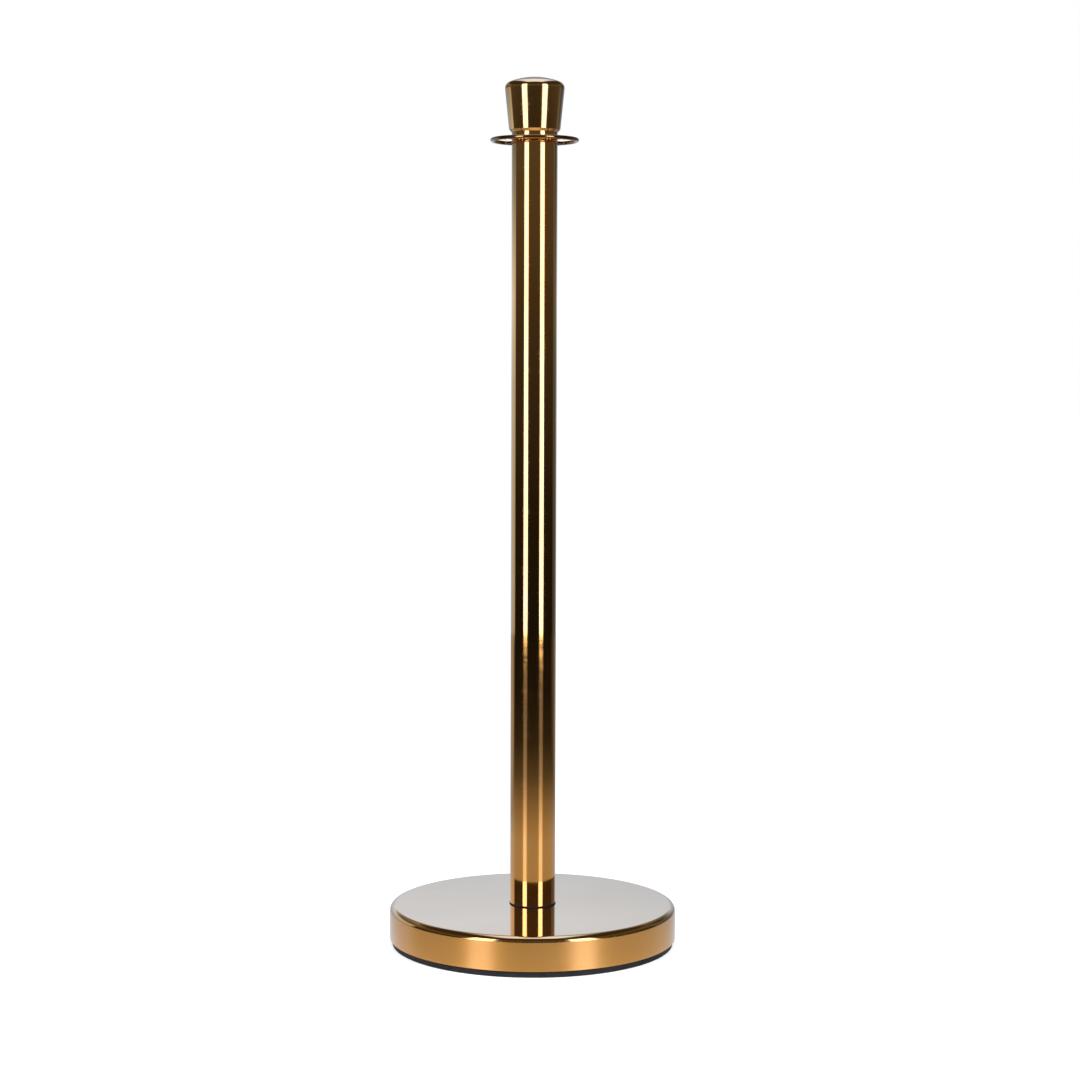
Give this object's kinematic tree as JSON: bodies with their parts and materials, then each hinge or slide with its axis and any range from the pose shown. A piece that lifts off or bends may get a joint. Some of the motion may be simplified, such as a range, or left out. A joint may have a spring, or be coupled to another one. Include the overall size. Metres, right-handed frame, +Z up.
{
  "type": "rope barrier stanchion",
  "caption": "Polished gold rope barrier post: weighted round base with a rubber ring, plain tube, swivelling rope ring and a tapered domed crown.",
  "frame": {"origin": "on the floor, on the post's axis, at the middle of the rubber ring's underside", "axes": "+Z up along the post, +X and +Y level, midway between spokes of the rope ring"},
  "size_m": [0.32, 0.32, 0.965],
  "materials": {
    "gold_sheet": "polished titanium-gold plated steel sheet",
    "gold_tube": "polished titanium-gold plated steel tube",
    "gold_crown": "polished titanium-gold plated crown, neck and hub",
    "gold_fitting": "darker titanium-gold plated wire",
    "black_rubber": "matt moulded rubber",
    "cast_concrete": "rough cast concrete",
    "zinc_steel": "zinc plated",
    "turned_steel": "as turned",
    "plain_brass": "as turned",
    "nylon": "natural nylon"
  },
  "bodies": {
    "post": {"floor_ring": "black_rubber", "base_weight": "cast_concrete", "weight_sleeve": "zinc_steel", "base_cover": "gold_sheet", "base_washer": "zinc_steel", "lock_washer": "zinc_steel", "base_bolt": "zinc_steel", "seat_gasket": "black_rubber", "post_tube": "gold_tube", "foot_plug": "turned_steel", "top_plug": "turned_steel", "head_stud": "zinc_steel", "stud_nut": "zinc_steel", "neck_bush": "plain_brass", "lower_washer": "nylon"},
    "ring": {"ring_hub": "gold_crown", "spoke_1": "gold_fitting", "spoke_2": "gold_fitting", "spoke_3": "gold_fitting", "spoke_4": "gold_fitting", "hang_ring": "gold_fitting"},
    "crown_washer": {"upper_washer": "nylon"},
    "crown": {"crown_boss": "gold_crown", "crown_shell": "gold_crown"}
  },
  "joints": [
    {"name": "ring_swivel", "type": "hinge", "parent": "post", "child": "ring", "pos_m": [0, 0, 0.8958], "axis": [0, 0, 1], "continuous": true},
    {"name": "crown_lift", "type": "slide", "parent": "post", "child": "crown_washer", "axis": [0, 0, 1], "range_m": [0, 0.018]},
    {"name": "crown_turn", "type": "hinge", "parent": "crown_washer", "child": "crown", "pos_m": [0, 0, 0.9042], "axis": [0, 0, 1], "range_deg": [0, 4320]}
  ],
  "couplings": [
    {"joint": "crown_lift", "follows": "crown_turn", "m_per_rad": 0.00023873}
  ]
}
